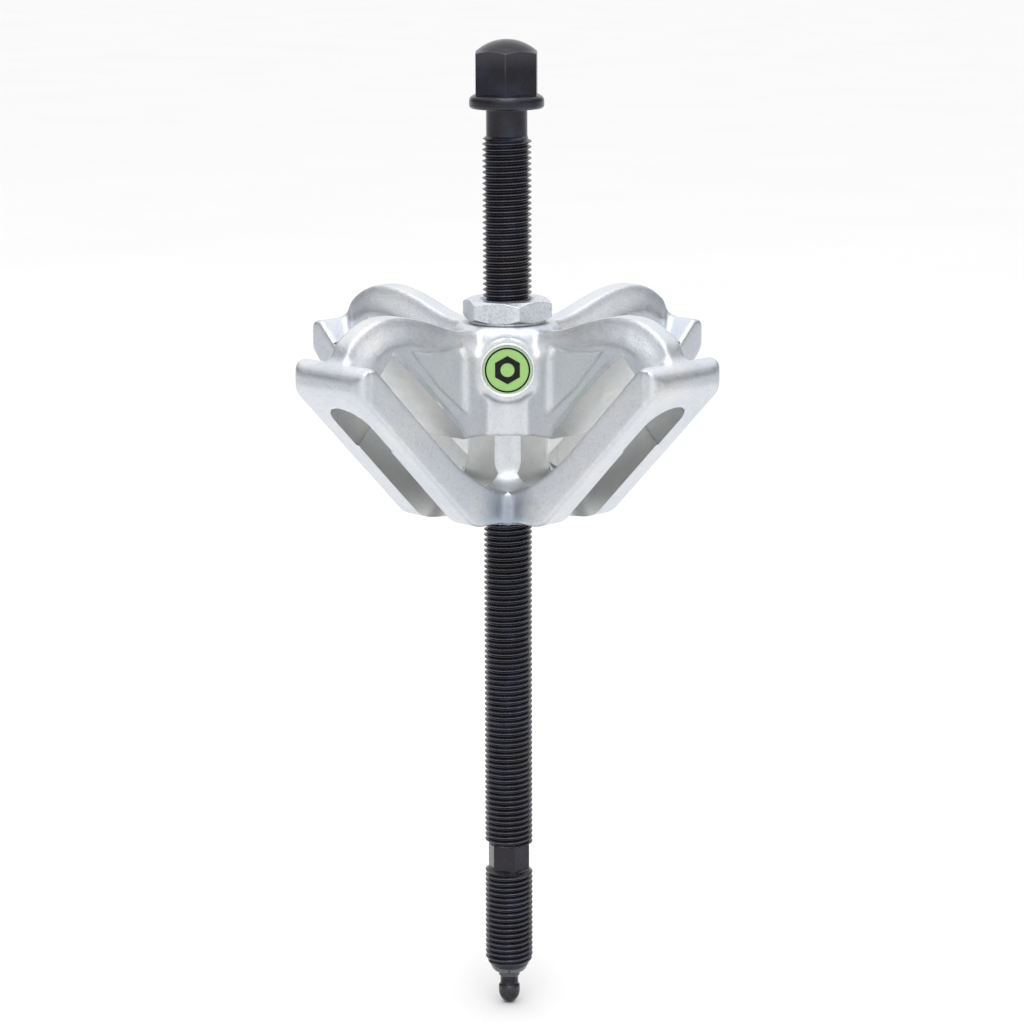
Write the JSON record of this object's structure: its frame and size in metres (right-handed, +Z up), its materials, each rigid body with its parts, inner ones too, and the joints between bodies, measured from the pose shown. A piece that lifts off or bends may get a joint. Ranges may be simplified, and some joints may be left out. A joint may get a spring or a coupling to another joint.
{
  "type": "gear puller head",
  "caption": "Forged crossbeam with sloping slotted arms, a threaded hexagon bush in its hub, and a long hexagon-headed forcing spindle with a swivelling point.",
  "frame": {"origin": "the spindle's point, on the spindle's axis", "axes": "+Z up the spindle towards its hexagon head; the arms lie along +X, +Y, -X and -Y, and the badge faces between +X and -Y"},
  "size_m": [0.2194, 0.2194, 0.4492],
  "materials": {
    "zinc_forging": "satin",
    "zinc_hexagon": "satin",
    "black_oxide": "satin",
    "hard_steel": "satin",
    "green_badge": "satin"
  },
  "bodies": {
    "beam": {"crossbeam": "zinc_forging", "threaded_bush": "zinc_hexagon", "bush_lock_screw": "hard_steel", "badge_disc": "green_badge"},
    "point": {"pressure_tip": "hard_steel", "thrust_ball": "hard_steel", "tip_retaining_ring": "hard_steel"},
    "spindle": {"spindle": "black_oxide"}
  },
  "joints": [
    {"name": "spindle_feed", "type": "slide", "parent": "beam", "child": "point", "axis": [0, 0, 1], "range_m": [-0.0847, 0.2001]},
    {"name": "spindle_turn", "type": "hinge", "parent": "point", "child": "spindle", "pos_m": [0, 0, 0.2], "axis": [0, 0, 1], "range_deg": [-12180, 28800]}
  ],
  "couplings": [
    {"joint": "spindle_feed", "follows": "spindle_turn", "m_per_rad": 0.00039789}
  ]
}
